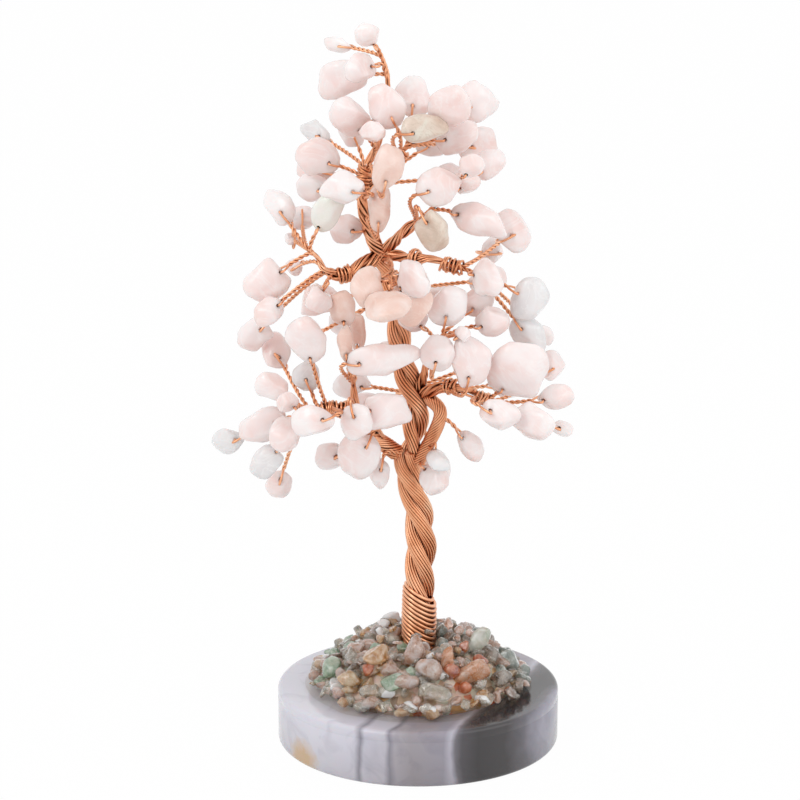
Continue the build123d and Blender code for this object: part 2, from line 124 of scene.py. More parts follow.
def quartz(name, look):
    material, tree, shader, place = startMaterial(name, {
        "Roughness": look["roughness"], "IOR": 1.544, "Transmission Weight": look.get("clear", 0.0),
        "Subsurface Weight": look["milk"], "Subsurface Scale": look["milkDepth"] * mm,
        "Subsurface Radius": (1.0, 0.8, 0.75), "Coat Weight": look.get("coat", 0.0), "Coat Roughness": 0.03,
        "Coat IOR": 1.7})
    clouds = addNode(tree, "TexNoise", {"Scale": 1 / (look["cloud"] * mm), "Detail": 4.0, "Roughness": 0.55,
                     "Distortion": 0.8}, {"Vector": place})
    tint = addNode(tree, "ValToRGB", {"stops": list(zip(look["stops"], look["colours"]))}, {"Fac": clouds})
    veins = addNode(tree, "TexNoise", {"Scale": 1 / (look["vein"] * mm), "Detail": 6.0, "Roughness": 0.6,
                    "Distortion": 2.0}, {"Vector": place})
    thin = addNode(tree, "ValToRGB", {"stops": [(0.47, "#000000"), (0.5, "#FFFFFF"), (0.53, "#000000")]},
                   {"Fac": veins})
    some = addNode(tree, "Math", {"operation": "MULTIPLY", 1: look["veinShare"]}, {0: thin})
    mixed = addNode(tree, "Mix", {"data_type": "RGBA", 7: hexColour(look["veinColour"])}, {0: some, 6: tint})
    pits = addNode(tree, "TexNoise", {"Scale": 1 / (1.1 * mm), "Detail": 3.0}, {"Vector": place})
    relief = addNode(tree, "Bump", {"Strength": look["relief"], "Distance": 0.2 * mm}, {"Height": pits})
    if "facets" in look:
        breaks = addNode(tree, "TexVoronoi", {"Scale": 1 / (look["facets"] * mm)},
                         {"Vector": place})
        relief = addNode(tree, "Bump", {"Strength": 0.7, "Distance": 0.45 * mm}, {"Height": breaks, "Normal": relief})
        letLightThrough(tree, shader, look["clear"], look["colours"][-1])
    join(tree, shader, {"Base Color": mixed.outputs[2], "Normal": relief})
    return material


# Tumbled quartz is polished in a drum: a wet gloss, milk and hair-fine healed cracks inside.
# The heap's chips are broken and glassier. Depths and the sizes of the patterns are in mm.
tumbled = {"roughness": 0.14, "milk": 0.4, "milkDepth": 2.0, "vein": 6.0, "veinShare": 0.3, "relief": 0.15,
           "stops": (0.34, 0.5, 0.66)}
broken = {"roughness": 0.04, "milk": 0.3, "milkDepth": 2.6, "cloud": 2.6, "vein": 2.0, "veinShare": 0.6,
          "relief": 0.5, "clear": 0.55, "coat": 0.8, "facets": 2.4, "stops": (0.3, 0.48, 0.66)}
stoneLooks = {
    "rose_quartz": {**tumbled, "milk": 0.5, "milkDepth": 2.6, "cloud": 15.0, "vein": 18.0, "relief": 0.12,
        "veinColour": "#FFFBFA", "colours": ["#F4DCD7", "#F8E8E6", "#FAF1F0"]},
    "peach_quartz": {**tumbled, "roughness": 0.16, "cloud": 8.0, "vein": 9.0,
        "veinColour": "#F8E6DE", "colours": ["#EBC8BA", "#F0D3C7", "#F5E0D8"]},
    "grey_quartz": {**tumbled, "roughness": 0.16, "milk": 0.35, "cloud": 5.0, "veinShare": 0.5, "relief": 0.2,
        "veinColour": "#C9B7A4", "colours": ["#D5BEAC", "#E2D0C1", "#E6DDD0"]},
    "clear_quartz": {**tumbled, "roughness": 0.1, "milkDepth": 3.0, "cloud": 8.0, "vein": 9.0, "veinShare": 0.5,
        "clear": 0.12, "veinColour": "#FFFFFF", "colours": ["#ECEAEB", "#F5F2F2", "#F9F7F8"]},
    "pale_aventurine": {**tumbled, "cloud": 9.0,
        "veinColour": "#F6F7F3", "colours": ["#DDE6DA", "#ECEDE4", "#F3EFEA"]},
    "broken_rose": {**broken, "cloud": 2.4, "veinShare": 0.7, "clear": 0.6, "veinColour": "#FFFAF5",
        "stops": (0.32, 0.45, 0.58, 0.72), "colours": ["#BD8660", "#E0B8A2", "#F1D6CC", "#FBEFEC"]},
    "broken_peach": {**broken,
        "veinColour": "#FFF6EC", "stops": (0.3, 0.5, 0.7), "colours": ["#C9803F", "#E3A579", "#F3CFB5"]},
    "broken_clear": {**broken, "roughness": 0.03, "milk": 0.2, "cloud": 2.4, "vein": 1.8, "veinShare": 0.85,
        "relief": 0.6, "clear": 0.78, "facets": 1.9,
        "veinColour": "#FFFFFF", "colours": ["#AB9B7C", "#D9D0BD", "#F9F7F2"]},
    "broken_pale": {**broken, "milk": 0.4, "cloud": 3.0, "clear": 0.5,
        "veinColour": "#FDFEFA", "stops": (0.3, 0.5, 0.7), "colours": ["#AFBBA2", "#DFE4D6", "#F6F6F1"]},
    "green_aventurine": {**broken, "roughness": 0.05, "facets": 2.2,
        "veinColour": "#F2F8EF", "colours": ["#789E7C", "#A8C6A7", "#DCE7D5"]},
    "teal_agate": {**broken, "roughness": 0.05, "milk": 0.25, "milkDepth": 2.2, "clear": 0.52, "facets": 2.0,
        "veinColour": "#E8EBE5", "colours": ["#596A64", "#919D94", "#CCD1C9"]},
    "honey_calcite": {**broken, "clear": 0.6, "facets": 2.2,
        "veinColour": "#FFF6E8", "colours": ["#B5793A", "#DCAE77", "#F5DCBC"]},
    "carnelian": {**broken, "roughness": 0.05, "milkDepth": 2.0, "vein": 2.2, "veinShare": 0.5, "clear": 0.5,
        "facets": 2.2, "veinColour": "#F6C4A0", "stops": (0.3, 0.5, 0.7), "colours": ["#A83D12", "#D06C38", "#E9A67E"]},
    "smoky_quartz": {**broken, "roughness": 0.03, "milk": 0.2, "milkDepth": 2.2, "vein": 1.8, "veinShare": 0.8,
        "relief": 0.6, "clear": 0.68, "facets": 1.9,
        "veinColour": "#F2ECE5", "colours": ["#6A5847", "#9B8A79", "#D3C8BC"]},
}
stoneMaterials = {name: quartz("tumbled_" + name, look) for name, look in stoneLooks.items()}
# A look takes the slot of its own name, a node's stones the look of its slot, but for these
lookOfNode = {"heap_rose": "broken_rose", "heap_clear": "broken_clear", "green_stone_left": "pale_aventurine",
              "stones_centre": "peach_quartz"}
stonesOfLook = {
    "peach_quartz": [(342, 309), (345, 344), (358, 334), (388, 168), (379, 208)],
    "grey_quartz": [(432, 231), (425, 130)], "rose_quartz": [(414, 279)],
    "clear_quartz": [(315, 133), (527, 335), (438, 459), (306, 376)],
}
lookOfStone = {stone: look for look, stones in stonesOfLook.items() for stone in stones}


def drawnCopper():
    # Soft copper drawn through a die and lacquered: a warm even gloss, with shade painted into the colour as a darker
    # brown in the grooves between the wires
    material, tree, shader, place = startMaterial("lacquered_copper_wire", {
        "Metallic": 1.0, "Roughness": 0.3, "Coat Weight": 0.25, "Coat Roughness": 0.15})
    patches = addNode(tree, "TexNoise", {"Scale": 1 / (7 * mm), "Detail": 3.0}, {"Vector": place})
    tint = addNode(tree, "ValToRGB", {"stops": [(0.3, "#E2986A"), (0.52, "#F3B086"), (0.72, "#FAC49E")]},
                   {"Fac": patches})
    # Painted shade: ambient occlusion mixes dark brown #6E3218 into the colour in the grooves between the wires
    grooves = addNode(tree, "AmbientOcclusion", {"samples": 6, "Distance": 0.9 * mm})
    depth = addNode(tree, "MapRange", {1: 0.2, 2: 0.8}, {0: grooves.outputs["AO"]})
    paintedGrooveShade = addNode(tree, "Mix", {"data_type": "RGBA", 6: hexColour("#6E3218")}, {0: depth, 7: tint})
    scuffs = addNode(tree, "TexNoise", {"Scale": 1 / (0.6 * mm), "Detail": 2.0}, {"Vector": place})
    relief = addNode(tree, "Bump", {"Strength": 0.12, "Distance": 0.05 * mm}, {"Height": scuffs})
    join(tree, shader, {"Base Color": paintedGrooveShade.outputs[2], "Normal": relief})
    return material


agateLook = {
    "bandLean": 24.0,       # degrees of the bands off the depth
    "reach": 35.0,          # mm from the middle to either end of the bands
    "bands": [(-35.0, "#CBCAD5"), (-15.0, "#D9D8E2"), (-1.6, "#D2D0DB"), (0.0, "#97949F"), (1.2, "#CBC9D4"),
              (6.6, "#C5C2CC"), (7.9, "#8B8893"), (9.2, "#ABA6AE"), (13.0, "#9C969C"), (19.4, "#9A96A1"),
              (21.0, "#B9B6C3"), (22.2, "#6E6A71"), (23.4, "#4C484D"), (26.5, "#332F31"), (31.0, "#3B3739"),
              (33.4, "#65626A"), (35.0, "#9A98A6")],
    "waver": 3.0,           # mm, how far a band strays
    "waverSize": 16, "cloudSize": 9,                # mm
    "cloudColour": "#B9B7C4", "deepColour": "#A9A29C",
    "stainAt": (-28.5, -20.5, 0.5), "stainColour": "#C79E5E",
}


def bandedAgate():
    # Sawn and polished agate: planes of colour through the slab, glossy, a little light going into it, and shade
    # painted in that darkens it towards the bottom
    material, tree, shader, place = startMaterial("polished_banded_agate", {
        "Roughness": 0.16, "IOR": 1.54, "Subsurface Weight": 0.15, "Subsurface Scale": 2 * mm, "Coat Weight": 0.2})
    turned = addNode(tree, "Mapping", {"Rotation": (0, 0, radians(agateLook["bandLean"])), "Scale": (1 / mm,) * 3},
                     {"Vector": place})
    stray = addNode(tree, "TexNoise", {"Scale": 1 / agateLook["waverSize"], "Detail": 3.0, "Roughness": 0.45},
                    {"Vector": turned})
    across = addNode(tree, "SeparateXYZ", {}, {0: turned})
    centred = addNode(tree, "Math", {"operation": "SUBTRACT", 1: 0.5}, {0: stray})
    shift = addNode(tree, "Math", {"operation": "MULTIPLY_ADD", 1: 2 * agateLook["waver"]}, {0: centred, 2: across})
    reach = agateLook["reach"]
    share = addNode(tree, "MapRange", {1: -reach, 2: reach}, {0: shift})
    stops = [((u + reach) / (2 * reach), colour) for u, colour in agateLook["bands"]]
    bands = addNode(tree, "ValToRGB", {"stops": stops}, {"Fac": share})
    mist = addNode(tree, "TexNoise", {"Scale": 1 / agateLook["cloudSize"], "Detail": 5.0, "Roughness": 0.5,
                   "Distortion": 1.2}, {"Vector": turned})
    misty = addNode(tree, "MapRange", {1: 0.5, 2: 0.75, 3: 0.0, 4: 0.45}, {0: mist})
    multiply = {"data_type": "RGBA", "blend_type": "MULTIPLY"}
    cloudy = addNode(tree, "Mix", {**multiply, 7: hexColour(agateLook["cloudColour"])}, {0: misty, 6: bands})
    # Painted shade: the colour is multiplied towards #A9A29C by up to 35 % at the bottom of the disc, fading out 12 mm
    # up
    high = addNode(tree, "SeparateXYZ", {}, {0: place}).outputs[2]
    deep = addNode(tree, "MapRange", {1: 0.0, 2: 12 * mm, 3: 0.35, 4: 0.0}, {0: high})
    shadedLow = addNode(tree, "Mix", {**multiply, 7: hexColour(agateLook["deepColour"])}, {0: deep, 6: cloudy.outputs[2]})
    stain = addNode(tree, "VectorMath", {"operation": "DISTANCE", 1: [at * mm for at in agateLook["stainAt"]]},
                    {0: place})
    blot = addNode(tree, "TexNoise", {"Scale": 1 / (2.5 * mm), "Detail": 4.0}, {"Vector": place})
    edge = addNode(tree, "Math", {"operation": "MULTIPLY_ADD", 1: 5 * mm}, {0: blot, 2: stain.outputs["Value"]})
    ochre = addNode(tree, "MapRange", {1: 9.5 * mm, 2: 5.5 * mm, 3: 0.0, 4: 0.75}, {0: edge})
    stained = addNode(tree, "Mix", {"data_type": "RGBA", 7: hexColour(agateLook["stainColour"])},
                      {0: ochre, 6: shadedLow.outputs[2]})
    join(tree, shader, {"Base Color": stained.outputs[2]})
    return material


def clearResin():
    # Two-part resin poured thin over the chips: water clear, a slightly rolling skin
    material, tree, shader, place = startMaterial("poured_clear_resin", {
        "Base Color": hexColour("#F3EFEA"), "Roughness": 0.04, "IOR": 1.5, "Transmission Weight": 1.0})
    swell = addNode(tree, "TexNoise", {"Scale": 1 / (3 * mm), "Detail": 2.0}, {"Vector": place})
    relief = addNode(tree, "Bump", {"Strength": 0.5, "Distance": 0.5 * mm}, {"Height": swell})
    join(tree, shader, {"Normal": relief})
    letLightThrough(tree, shader, 0.94, "#FAF9F6", 0.78)
    return material


copper = drawnCopper()
agate = bandedAgate()
resin = clearResin()
print("materials ready")


# Where things are: the same reading of the front view as the CAD source, a pixel and a depth give a place

reading = {
    "frame": 800, "axis": 418.5, "foot": 682, "tip": 18, "eye": 2849,       # pixels
    "crownLeft": 210, "crownRight": 571,
    "crownWide": 88.0, "crownDeep": 78.0, "baseTop": 14.0, "rise": 166.0,   # mm
}
pxMm = reading["crownWide"] / (reading["crownRight"] - reading["crownLeft"])
stoneMake = {
    "thick": 5.0, "holeIn": 1.7, "tail": 1.5, "loopSink": 0.35, "loopOut": 0.7875, "leanRun": 2.2, "stemLeast": 0.8,
    "onwardLeast": 1.0, "twigLead": 3.0, "holeD": 0.95,     # mm
}


def seen(px, py, back):
    across, up = (px - reading["frame"] / 2) / reading["eye"], (reading["frame"] / 2 - py) / reading["eye"]
    down = radians(view["lookDown"])
    reach = (back + reading["eye"] * cos(down)) / (cos(down) + up * sin(down))
    rise = reading["eye"] * sin(down) + (up * cos(down) - sin(down)) * reach
    return reading["frame"] / 2 - reading["axis"] + across * reach, rise


footRise = seen(reading["axis"], reading["foot"], 0)[1]
riseMm = reading["rise"] / (seen(reading["axis"], reading["tip"], 0)[1] - footRise)


def spot(px, py, depthShare):
    depth = depthShare * reading["crownDeep"] / 2
    across, rise = seen(px, py, depth / pxMm)
    return Vector((across * pxMm, depth, reading["baseTop"] + (rise - footRise) * riseMm))


def places(line):
    return [point if isinstance(point, Vector) else spot(*point) for point in line]


def clearOf(ball, ballD, towards):
    return ball + (towards - ball).normalized() * (ballD / 2 + 0.3)


sideBall = spot(442, 416, -0.10)
leaderBall = spot(378, 146, 0.0)
leaderBend = spot(384, 112, 0.06)
sideTip = spot(451, 423, -0.105)
# Each row of stones: pixel, depth share, long and wide in pixels, then its lean where it has one, or its own node
branches = {
    "low_left": {"thick": (4.4, 2.2),
        "line": [(396, 452, -0.06), (374, 438, -0.14), (352, 410, -0.24), (332, 408, -0.26), (312, 412, -0.26)],
        "stones": [(272, 387, -0.34, 30, 28), (288, 402, -0.54, 24, 20), (262, 424, -0.28, 40, 34),
            (286, 433, -0.44, 36, 30), (313, 420, -0.70, 36, 30, -165), (228, 441, -0.02, 40, 32, "clear_stone_left"),
            (268, 461, -0.34, 38, 34, "clear_stone_low"), (279, 484, 0.0, 34, 30, "drop_stone_left"),
            (332, 456, 0.06, 34, 24), (361, 456, -0.30, 42, 36, -115), (356, 422, -0.56, 32, 30, -75),
            (276, 350, 0.14, 38, 28), (306, 376, -0.14, 28, 26), (306, 340, -0.44, 44, 38),
            (380, 474, -0.14, 28, 20, -100)]},
    "left_riser": {"thick": (2.6, 1.6),
        "line": [(358, 428, -0.20), (354, 402, -0.26), (355, 384, -0.26), (353, 372, -0.24)],
        "stones": [(384, 360, -0.46, 64, 29, 4), (385, 411, -0.42, 46, 36, -8), (342, 309, -0.34, 32, 24),
            (358, 334, -0.12, 36, 15, 86), (345, 344, -0.42, 34, 14, 98)]},
    "right_strand": {"thick": (3.6, 3.2), "sheathed": True,
        "line": [(418, 462, -0.04), (431, 440, -0.08), sideBall, (438, 404, -0.08), (424, 396, 0.0)],
        "stones": [(438, 459, -0.30, 34, 22), (434, 479, -0.16, 36, 34, "hanging_stone_front")]},
    "low_right": {"thick": (3.6, 2.0),
        "line": [(420, 396, 0.0), (438, 386, -0.12), (456, 386, -0.20), (476, 396, -0.22), (492, 402, -0.22)],
        "stones": [(471, 362, -0.42, 44, 36, 80), (517, 371, -0.34, 56, 54), (550, 366, 0.22, 34, 28),
            (556, 397, -0.26, 38, 32, "end_stone_right"), (533, 420, -0.40, 46, 32), (500, 414, -0.52, 36, 26, -25),
            (562, 428, -0.06, 26, 18, "tip_stone_right")]},
    "right_riser": {"thick": (2.8, 1.6),
        "line": [(418, 396, 0.02), (424, 372, -0.06), (433, 352, -0.10), (440, 338, -0.10)],
        "stones": [(437, 354, -0.46, 30, 31, 78), (447, 306, -0.34, 34, 36, 82), (478, 303, -0.10, 28, 26),
            (492, 322, -0.26, 30, 28), (413, 317, -0.20, 30, 28), (463, 334, -0.44, 18, 15)]},
    "mid_right": {"thick": (4.0, 2.2),
        "line": [(386, 254, 0.0), (414, 258, -0.08), (440, 263, -0.14), (462, 268, -0.18)],
        "stones": [(513, 232, 0.18, 36, 44), (492, 251, 0.34, 30, 26), (488, 278, -0.36, 36, 34),
            (529, 297, -0.20, 38, 50, "white_stone_right"), (527, 335, -0.14, 36, 30), (543, 336, 0.36, 30, 16)]},
    "upper_right": {"thick": (3.8, 2.0),
        "line": [(384, 250, 0.0), (400, 238, -0.06), (412, 224, -0.08), (430, 209, -0.10)],
        "stones": [(432, 231, -0.40, 38, 27, -60), (439, 186, -0.34, 38, 35, 20), (466, 182, -0.18, 26, 24),
            (472, 166, -0.40, 24, 22), (489, 165, -0.02, 36, 32, "hook_stone_right"), (479, 219, -0.28, 54, 31)]},
    "mid_left": {"thick": (4.0, 1.8),
        "line": [(382, 256, 0.0), (362, 264, -0.06), (344, 277, -0.12), (328, 274, -0.14), (306, 248, -0.12)],
        "stones": [(267, 280, -0.22, 42, 38), (294, 267, 0.02, 18, 16), (269, 311, -0.36, 28, 24),
            (256, 333, 0.08, 38, 30), (319, 298, -0.42, 32, 28), (280, 208, 0.10, 38, 28), (292, 239, 0.26, 18, 14),
            (326, 212, -0.20, 46, 35, "green_stone_left"), (302, 218, 0.36, 36, 30)]},
    "centre": {"thick": (2.6, 1.8),
        "line": [(386, 258, 0.0), (388, 262, -0.20), (392, 270, -0.34)],
        "stones": [(368, 288, -0.62, 42, 40), (388, 306, -0.80, 44, 42), (414, 279, -0.52, 40, 34),
            (411, 304, -0.48, 40, 38)]},
    "top_strand": {"thick": (3.8, 1.8),
        "line": [(384, 260, 0.0), (374, 244, 0.0), (366, 222, 0.0), (362, 200, 0.0), (362, 184, 0.0), (367, 164, 0.0),
            leaderBall],
        "stones": [(315, 133, 0.30, 34, 20), (318, 158, 0.02, 38, 34), (342, 188, -0.36, 38, 32, 170),
            (315, 188, 0.20, 36, 30), (350, 118, -0.16, 40, 36), (388, 168, -0.36, 40, 30, 80),
            (379, 208, -0.26, 42, 21, 88), (347, 229, 0.04, 30, 28), (373, 131, -0.30, 26, 24)]},
    "top_right": {"thick": (2.8, 1.8),
        "line": [(363, 190, 0.0), (384, 176, 0.04), (398, 160, 0.02), (408, 146, 0.0)],
        "stones": [(387, 106, -0.20, 38, 34, 115), (425, 130, -0.30, 40, 26, 8), (413, 98, 0.18, 40, 34),
            (449, 107, -0.24, 44, 38), (477, 102, 0.24, 42, 37), (457, 137, -0.04, 36, 34),
            (479, 146, 0.32, 42, 37)]},
    "top_leader": {"thick": (1.8, 1.2), "neck": [(367, 164, 0.0), leaderBall], "bend": (leaderBall, leaderBend),
        "line": [clearOf(leaderBall, 1.9, leaderBend), leaderBend, (390, 82, 0.04), (384, 66, 0.02), (379, 50, 0.0)],
        "stones": [(367, 35, -0.14, 32, 27, "crest_stone"), (338, 45, 0.24, 30, 16), (361, 68, -0.10, 32, 26),
            (343, 80, 0.06, 42, 38)]},
    "back_low": {"thick": (3.4, 2.2),
        "line": [(416, 404, 0.0), (414, 396, 0.24), (412, 388, 0.48)],
        "stones": [(368, 408, 0.60, 38, 30), (352, 384, 0.34, 34, 28), (392, 356, 0.80, 38, 30),
            (438, 352, 0.72, 34, 28), (474, 366, 0.50, 36, 30), (508, 384, 0.34, 36, 30), (436, 470, 0.34, 34, 28)]},
    "back_mid": {"thick": (3.4, 2.2),
        "line": [(397, 300, 0.0), (398, 292, 0.26), (400, 288, 0.50)],
        "stones": [(368, 286, 0.70, 38, 32), (400, 300, 0.92, 36, 30), (444, 302, 0.64, 36, 30),
            (488, 280, 0.42, 34, 28), (320, 300, 0.50, 34, 30), (306, 340, 0.34, 34, 28), (344, 322, 0.66, 30, 24)]},
    "back_top": {"thick": (3.0, 2.0),
        "line": [(363, 196, 0.0), (366, 190, 0.18), (372, 184, 0.36)],
        "stones": [(342, 184, 0.50, 34, 28), (316, 168, 0.36, 34, 28), (390, 166, 0.70, 36, 30),
            (352, 128, 0.44, 32, 28), (436, 140, 0.42, 36, 28), (452, 178, 0.30, 34, 28), (372, 214, 0.62, 34, 24)]},
    "right_twig": {"thick": (1.4, 1.0), "neck": [(439, 406, -0.085), sideBall], "bend": (sideBall, sideTip),
        "line": [clearOf(sideBall, 3.5, sideTip), sideTip],
        "stones": [(470, 446, -0.14, 36, 25, "twig_stone_right")]},
}


def nearestStation(points, target):
    # A twig leaves its branch a little before the place nearest to its stone
    stations = []
    for a, b in zip(points, points[1:]):
        run = b - a
        stations.append((a + run * max(0.0, min(1.0, (target - a).dot(run) / run.length_squared)), run.normalized()))
    place, heading = min(stations, key=lambda station: (target - station[0]).length)
    return place - heading * min(stoneMake["twigLead"], (place - points[0]).length * 0.6), heading


def hang(points, stone):
    middle = spot(*stone[:3])
    start, heading = nearestStation(points, middle)
    span = middle - start
    length, width = stone[3] * pxMm, stone[4] * pxMm
    holeBack = length / 2 - min(stoneMake["holeIn"], length * 0.3)
    if len(stone) > 5 and not isinstance(stone[5], str):
        lean = radians(stone[5])
        along = Vector((cos(lean), 0.15, sin(lean))).normalized()
        elbow = middle - along * (length / 2 + stoneMake["tail"] + stoneMake["leanRun"])
    else:
        room = span.length - length / 2 - stoneMake["tail"] - stoneMake["stemLeast"]
        onward = span.length * 0.1 + max(0.0, heading.dot(span)) * 0.2
        elbow = start + heading * min(onward, max(room, stoneMake["onwardLeast"]))
        along = (middle - elbow).normalized()
    toViewer = Vector((0, -1, 0))
    thin = toViewer - along * toViewer.dot(along)
    if thin.length < 0.3:
        thin = Vector((0, 0, 1)) - along * along.z
    return {"start": start, "elbow": elbow, "middle": middle, "along": along, "thin": thin.normalized(),
            "thick": min(stoneMake["thick"], width * 0.8), "length": length, "holeBack": holeBack,
            "hole": middle - along * holeBack, "key": stone[:2]}


hung = {}           # branch name to its stones as they hang
holes = {}          # stone node to the holes drilled in it
for name, branch in branches.items():
    hung[name] = []
    for stone in branch["stones"]:
        lie = hang(places(branch["line"]), stone)
        hung[name].append(lie)
        node = stone[5] if len(stone) > 5 and isinstance(stone[5], str) else "stones_" + name
        holes.setdefault(node, []).append((lie["hole"], lie["thin"], lie["thick"]))


# Curves and the wires on them

def smoothCurve(name, wires, finish):
    curve = bpy.data.curves.new(name, "CURVE")
    curve.dimensions = "3D"
    for points, thickness in wires:
        spline = curve.splines.new("NURBS")
        spline.points.add(len(points) - 1)
        for n, (knot, place) in enumerate(zip(spline.points, points)):
            knot.co = (*place, 1.0)
            knot.radius = thickness if isinstance(thickness, float) else thickness[n]
        spline.order_u, spline.use_endpoint_u, spline.resolution_u = 3, True, finish
    return curve


def meshOfCurve(name, curve):
    holder = bpy.data.objects.new(name, curve)
    mesh = bpy.data.meshes.new_from_object(holder)
    mesh.name = name
    bpy.data.objects.remove(holder)
    bpy.data.curves.remove(curve)
    return mesh


def smoothRoute(points, finish=6):
    mesh = meshOfCurve("route", smoothCurve("route", [(points, 1.0)], finish))
    route = [v.co.copy() for v in mesh.vertices]
    bpy.data.meshes.remove(mesh)
    return route


def evenly(route, step):
    lengths = [0.0]
    for a, b in zip(route, route[1:]):
        lengths.append(lengths[-1] + (b - a).length)
    count = max(2, round(lengths[-1] / step))
    even, piece = [], 0
    for n in range(count + 1):
        along = lengths[-1] * n / count
        while piece < len(route) - 2 and lengths[piece + 1] < along:
            piece += 1
        run = lengths[piece + 1] - lengths[piece]
        even.append(route[piece].lerp(route[piece + 1], (along - lengths[piece]) / run if run else 0.0))
    return even, lengths[-1] / count


def carried(route, side=None):
    # Each station of a route: its place, two ways across that don't spin, and the way onward
    stations = []
    onward = (route[1] - route[0]).normalized()
    side = side or onward.orthogonal()
    side = (side - onward * side.dot(onward)).normalized()
    for n, place in enumerate(route):
        after = (route[min(n + 1, len(route) - 1)] - route[max(n - 1, 0)]).normalized()
        side = (side - after * side.dot(after)).normalized()
        stations.append((place, side, after.cross(side), after))
    return stations


def swung(station, angle, ring):
    place, side, other, _ = station
    return place + (side * cos(angle) + other * sin(angle)) * ring


def angleRound(way, station):
    return atan2(way.dot(station[2]), way.dot(station[1]))


def nearest(route, target):
    return min(range(len(route)), key=lambda n: (route[n] - target).length)


def between(values, share):
    at = min(share, 0.9999) * (len(values) - 1)
    return values[floor(at)] + (values[floor(at) + 1] - values[floor(at)]) * (at - floor(at))


def addPiece(name, mesh, material):
    piece = bpy.data.objects.new(name, mesh)
    bpy.context.scene.collection.objects.link(piece)
    mesh.materials.clear()
    mesh.materials.append(material)
    mesh.polygons.foreach_set("use_smooth", [True] * len(mesh.polygons))
    return piece


def wireMesh(name, wires, radius, sides=1):
    curve = smoothCurve(name, [([place * mm for place in points], thickness) for points, thickness in wires], 2)
    curve.bevel_depth, curve.bevel_resolution, curve.use_fill_caps = radius * mm, sides, True
    return addPiece(name, meshOfCurve(name, curve), copper)


pairMake = {
    "wireR": 0.29,          # mm, one wire of a twisted pair
    "pitch": 2.8,           # mm for one full turn of the pair
    "twistRun": 3.0,        # mm over which the twist sets in
    "layPitch": 15.0,       # mm for one turn of the pairs round their branch
    "looseFrom": 3,         # with more pairs than this a branch's wires lie side by side
    "apart": 0.95,          # from the pair's middle to a wire's, of the wire's radius
    "under": 0.4, "packed": 0.5,                            # mm, where the pairs lie in their branch
    "coreUnder": 0.75, "coreLeast": 0.3, "coreTaper": 0.6,  # what fills a branch between its pairs
    "step": 0.5, "loopStep": 0.4,                           # mm
}


def twistedPair(lead, lie, twistFrom, side):
    stemEnd = lie["middle"] - lie["along"] * (lie["length"] / 2 + stoneMake["tail"] - stoneMake["loopSink"])
    centre, step = evenly(smoothRoute(lead + [lie["elbow"], stemEnd]), pairMake["loopStep"])
    stations = carried(centre, side)
    turn, turns = 0.0, []
    for n in range(len(centre)):
        grip = min(1.0, max(0.0, (n * step - twistFrom) / pairMake["twistRun"]))
        turn += grip * 2 * pi * step / pairMake["pitch"]
        turns.append(turn)
    # The twist is eased so that its wires end on either side of the stone
    spare = (angleRound(lie["thin"], stations[-1]) - turn + pi) % (2 * pi) - pi
    eased = 1 + spare / (turn or 1.0)
    one, two, apart = [], [], pairMake["wireR"] * pairMake["apart"]
    for n, (station, turn) in enumerate(zip(stations, turns)):
        if turn == 0.0 and n % 2:
            continue
        one.append(swung(station, turn * eased, apart))
        two.append(swung(station, turn * eased, -apart))
    # The loop, along the stone and out of its middle plane: over the end, along the face and into the hole
    out = lie["thick"] / 2 + stoneMake["loopOut"]
    endX, holeX = -lie["length"] / 2 - stoneMake["tail"], -lie["holeBack"]
    half = [(endX + 0.9, out * 0.55), (holeX - 0.7, out * 0.98), (holeX - 0.1, out), (holeX, out * 0.45)]
    loop = half + [(x, -z) for x, z in reversed(half)]
    return one + [lie["middle"] + lie["along"] * x + lie["thin"] * z for x, z in loop] + two[::-1]


# Where the bundles part, loose ends are wound back round them: pixel, depth share, length and radius in mm
knots = {
    "low_left": [(334, 409, -0.25, 7.0, 1.7), (350, 414, -0.24, 3.0, 1.9), (318, 410, -0.26, 3.0, 1.3)],
    "mid_right": [(452, 266, -0.16, 5.0, 1.5), (414, 258, -0.08, 2.6, 1.9)],
    "low_right": [(452, 386, -0.18, 4.0, 1.6), (482, 399, -0.22, 4.0, 1.3)],
    "top_right": [(400, 157, 0.02, 4.0, 1.3)],
    "mid_left": [(345, 277, -0.12, 4.0, 1.6)],
    "top_strand": [(364, 176, 0.0, 4.0, 1.7)],
    "right_riser": [(436, 346, -0.10, 3.0, 1.2)],
}
knotMake = {"pitch": 1.15, "steps": 12, "uneven": 0.22, "over": 0.3, "sway": 0.5}      # mm, shares and a count


def wound(stations, at, step, length, radius):
    # Two loose ends, one each way round, the second over the first
    coils = []
    for way in (1, -1):
        coil = []
        for n in range(round(length / knotMake["pitch"] * knotMake["steps"]) + 1):
            along = at + (n * knotMake["pitch"] / knotMake["steps"] - length / 2) / step
            index = min(max(round(along), 0), len(stations) - 1)
            past = (along - index) * step if 0 < index < len(stations) - 1 else 0.0
            swing = way * (2 * pi * n / knotMake["steps"] + 1.3)
            size = radius * (1 + knotMake["uneven"] * noise.noise(Vector((n / 5, at, way))))
            coil.append(swung(stations[index], swing, size + (knotMake["over"] if way < 0 else 0.0))
                        + stations[index][3] * (past + knotMake["sway"] * sin(swing * 0.7)))
        coils.append((coil, 1.0))
    return coils


